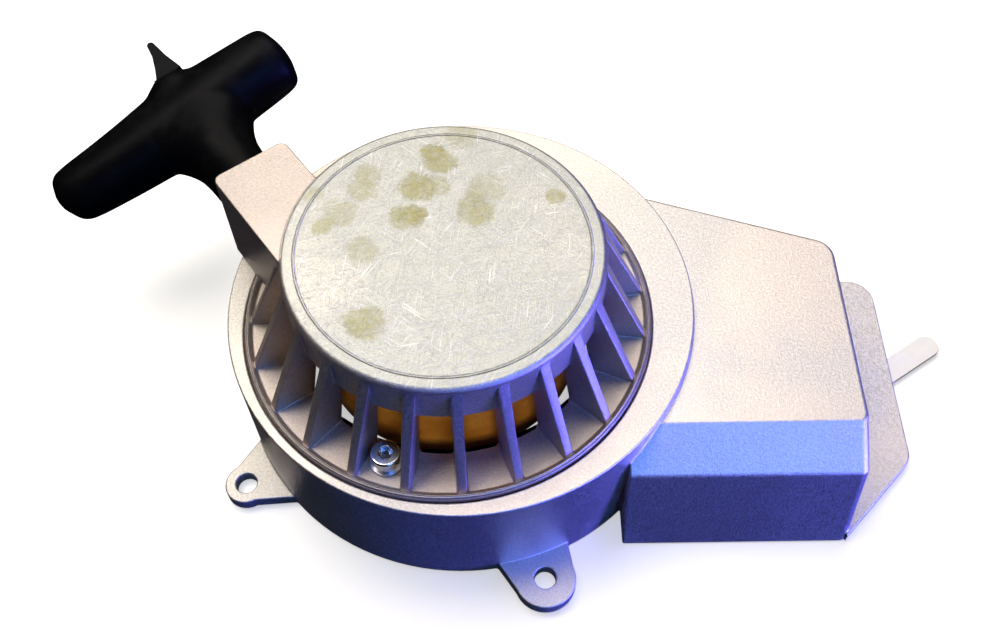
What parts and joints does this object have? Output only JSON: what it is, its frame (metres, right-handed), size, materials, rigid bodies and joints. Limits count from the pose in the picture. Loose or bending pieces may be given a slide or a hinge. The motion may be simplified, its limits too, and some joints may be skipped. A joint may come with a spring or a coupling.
{
  "type": "recoil starter",
  "caption": "Pull starter for a small two-stroke engine: cast fan shroud with air duct, ribbed starter cover, rope reel with pawls and a black T handle.",
  "frame": {"origin": "on the reel's axis, in the plane of the face that bolts to the engine", "axes": "+Z from the engine towards the cap, along the crankshaft; +X along the air duct"},
  "size_m": [0.2425, 0.1459, 0.0645],
  "materials": {
    "cast_shroud": "bare die casting, fine speckled grain",
    "cast_cover": "bare die casting, satin, scratched and stained",
    "bright_screw": "bright plated",
    "plated_washer": "zinc plated",
    "dark_steel": "oiled",
    "spring_steel": "blued",
    "sheet_steel": "zinc plated sheet",
    "reel_nylon": "amber nylon",
    "bronze": "sintered bronze",
    "rope": "braided cord",
    "pawl_steel": "hardened steel",
    "handle_black": "satin black moulding",
    "plug_rubber": "soft black rubber",
    "white_nylon": "natural white nylon"
  },
  "bodies": {
    "root": {"fan_shroud": "cast_shroud", "recoil_cover": "cast_cover", "cover_screws": "bright_screw", "cover_washers": "plated_washer", "centre_screw": "dark_steel", "spring_case": "sheet_steel", "spring_plate": "sheet_steel", "spring_anchor": "dark_steel", "recoil_spring": "spring_steel", "brake_washer": "bronze", "guide_sleeve": "dark_steel", "brake_spring": "spring_steel", "centre_washer": "plated_washer", "rope_bush": "plated_washer", "wire_clip": "white_nylon"},
    "reel": {"reel": "reel_nylon", "reel_bush": "bronze", "rope_coil": "rope", "reel_knot": "rope", "pawl_pins": "dark_steel"},
    "pawl_left": {"pawl_left": "pawl_steel"},
    "pawl_right": {"pawl_right": "pawl_steel"},
    "pawl_guide": {"pawl_guide": "sheet_steel"},
    "rope_end": {"pull_rope": "rope", "handle_knot": "rope"},
    "handle": {"handle_grip": "handle_black", "handle_plug": "plug_rubber", "knot_washer": "plated_washer"}
  },
  "joints": [
    {"name": "handle_pull", "type": "slide", "parent": "root", "child": "rope_end", "axis": [-0.5878, 0.809, 0], "range_m": [0, 0.7], "stiffness_N_per_m": 8, "springref_m": -0.4, "deforming": ["pull_rope"]},
    {"name": "handle_twist", "type": "hinge", "parent": "rope_end", "child": "handle", "pos_m": [-0.0687, 0.05577, 0.0495], "axis": [-0.5878, 0.809, 0], "range_deg": [-180, 180]},
    {"name": "reel_spin", "type": "hinge", "parent": "root", "child": "reel", "pos_m": [0, 0, 0.0495], "axis": [0, 0, 1], "range_deg": [-1765, 0], "deforming": ["recoil_spring"]},
    {"name": "guide_shift", "type": "hinge", "parent": "reel", "child": "pawl_guide", "pos_m": [0, 0, 0.0299], "axis": [0, 0, 1], "range_deg": [0, 25]},
    {"name": "pawl_left_swing", "type": "hinge", "parent": "reel", "child": "pawl_left", "pos_m": [0, 0.018, 0.033], "axis": [0, 0, 1], "range_deg": [0, 25]},
    {"name": "pawl_right_swing", "type": "hinge", "parent": "reel", "child": "pawl_right", "pos_m": [0, -0.018, 0.033], "axis": [0, 0, 1], "range_deg": [0, 25]}
  ],
  "couplings": [
    {"joint": "reel_spin", "follows": "handle_pull", "rad_per_m": -43.86},
    {"joint": "pawl_left_swing", "follows": "guide_shift", "ratio": 1},
    {"joint": "pawl_right_swing", "follows": "guide_shift", "ratio": 1}
  ]
}
